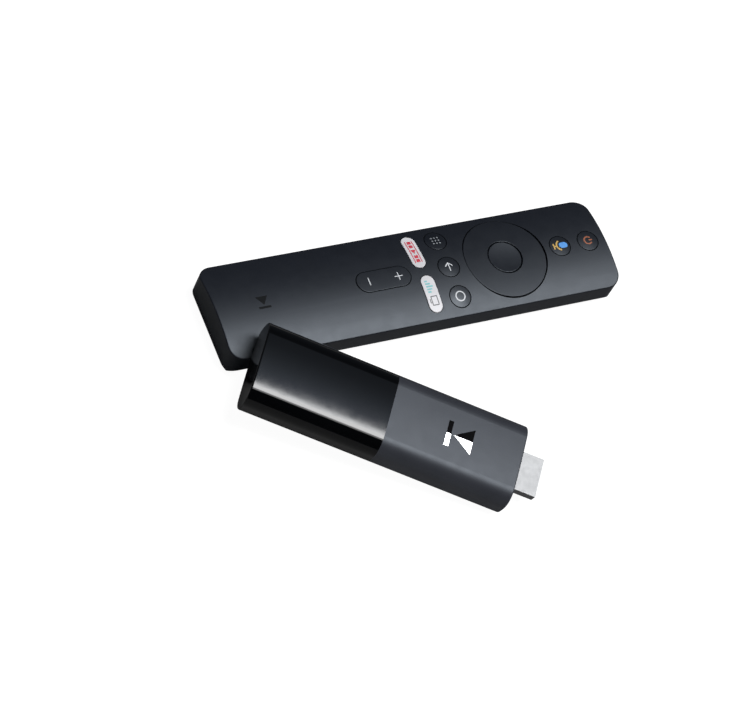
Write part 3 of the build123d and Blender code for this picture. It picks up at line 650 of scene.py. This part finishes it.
# ================================================================ light
SOFTBOX_DIRECTION = Vector((0.280, -0.140, 0.948)).normalized()  # from the stick to the softbox
SOFTBOX_DISTANCE, SOFTBOX_LENGTH = 2.5, 1.45
SOFTBOX_SLIDE = 0.08  # metres along the stick, towards its plug
GLOW_DIRECTION = Vector((0.376, 0.008, 0.927)).normalized()
GLOW_STRENGTH, GLOW_FADING = 1.62, -12.5  # at its middle; the exponent for each radian away from it
BEHIND_STRENGTH, ROOM_STRENGTH = 0.08, 0.015  # from straight behind; from everywhere
ROOM_TINT = (0.72, 0.83, 1.0)  # what the object sees is a little blue


def softbox(name, aside, width, radiance):
    """A soft light over the stick, with its long side along it, moved aside metres to the stick's front."""
    light = bpy.data.lights.new(name, "AREA")
    light.shape = "RECTANGLE"
    light.size, light.size_y = width, SOFTBOX_LENGTH
    light.energy = radiance * math.pi * width * SOFTBOX_LENGTH
    along = (STICK_TO_ROW.to_3x3() @ Vector((1, 0, 0))).normalized()
    across = along.cross(SOFTBOX_DIRECTION).normalized()
    lengthwise = SOFTBOX_DIRECTION.cross(across)
    place = STICK_CENTRE + SOFTBOX_DIRECTION * SOFTBOX_DISTANCE + across * aside + lengthwise * SOFTBOX_SLIDE
    add_object(name, light).matrix_world = placement(across, lengthwise, SOFTBOX_DIRECTION, place)


def surroundings():
    """Dim studio: a gentle glow beside the softbox, faint light from behind, and a white backdrop."""
    world = bpy.data.worlds.new("studio")
    world.use_nodes = True
    tree = world.node_tree
    tree.nodes.clear()

    def number(operation, *values):
        """The result of a math node."""
        return add_node(tree, "ShaderNodeMath", dict(enumerate(values)), operation=operation).outputs["Value"]

    def vector(operation, output, *values):
        """A result of a vector math node."""
        made = add_node(tree, "ShaderNodeVectorMath", dict(enumerate(values)), operation=operation)
        return made.outputs[output]

    direction = add_node(tree, "ShaderNodeTexCoord").outputs["Generated"]
    angle = number("ARCCOSINE", vector("DOT_PRODUCT", "Value", direction, GLOW_DIRECTION))
    glow = number("MULTIPLY", number("EXPONENT", number("MULTIPLY", angle, GLOW_FADING)), GLOW_STRENGTH)
    backward = number("MAXIMUM", vector("DOT_PRODUCT", "Value", direction, (0, 1, 0)), 0.0)
    behind = number("MULTIPLY", backward, BEHIND_STRENGTH)
    dim = number("ADD", number("ADD", glow, behind), ROOM_STRENGTH)
    seen = add_node(tree, "ShaderNodeLightPath").outputs["Is Camera Ray"]
    inputs = {
        "Color": vector("MAXIMUM", "Vector", seen, ROOM_TINT),
        "Strength": number("MAXIMUM", dim, seen),
    }
    background = add_node(tree, "ShaderNodeBackground", inputs).outputs["Background"]
    add_node(tree, "ShaderNodeOutputWorld", {"Surface": background})
    bpy.context.scene.world = world


softbox("softbox", aside=0.075, width=1.04, radiance=14.5)
softbox("softbox_skirt", aside=0.80, width=0.42, radiance=3.6)
surroundings()
bpy.context.scene.view_settings.view_transform = "Standard"

# ================================================================ camera
CAMERA_PLACE = Vector((-413.86, -380.25, 732.16)) * MM
CAMERA_LOOKS = Vector((0.43197, 0.39959, -0.80853)).normalized()
CAMERA_ROLL = math.radians(-29.8)
CAMERA_LENS, CAMERA_SENSOR = 133.46, 36.0  # millimetres
CAMERA_NEAR, CAMERA_FAR = 0.05, 20.0  # metres that it sees from and to


def studio_camera():
    """The camera, above the object's near left, rolled so that the remote climbs to the right."""
    level = CAMERA_LOOKS.cross(Vector((0, 0, 1))).normalized()
    upright = level.cross(CAMERA_LOOKS)
    up = math.cos(CAMERA_ROLL) * upright + math.sin(CAMERA_ROLL) * level
    right = CAMERA_LOOKS.cross(up)
    camera = add_object("camera", bpy.data.cameras.new("camera"))
    camera.data.lens = CAMERA_LENS
    camera.data.sensor_fit = "HORIZONTAL"
    camera.data.sensor_width = CAMERA_SENSOR
    camera.data.clip_start, camera.data.clip_end = CAMERA_NEAR, CAMERA_FAR
    camera.matrix_world = placement(right, up, -CAMERA_LOOKS, CAMERA_PLACE)
    bpy.context.scene.camera = camera


studio_camera()
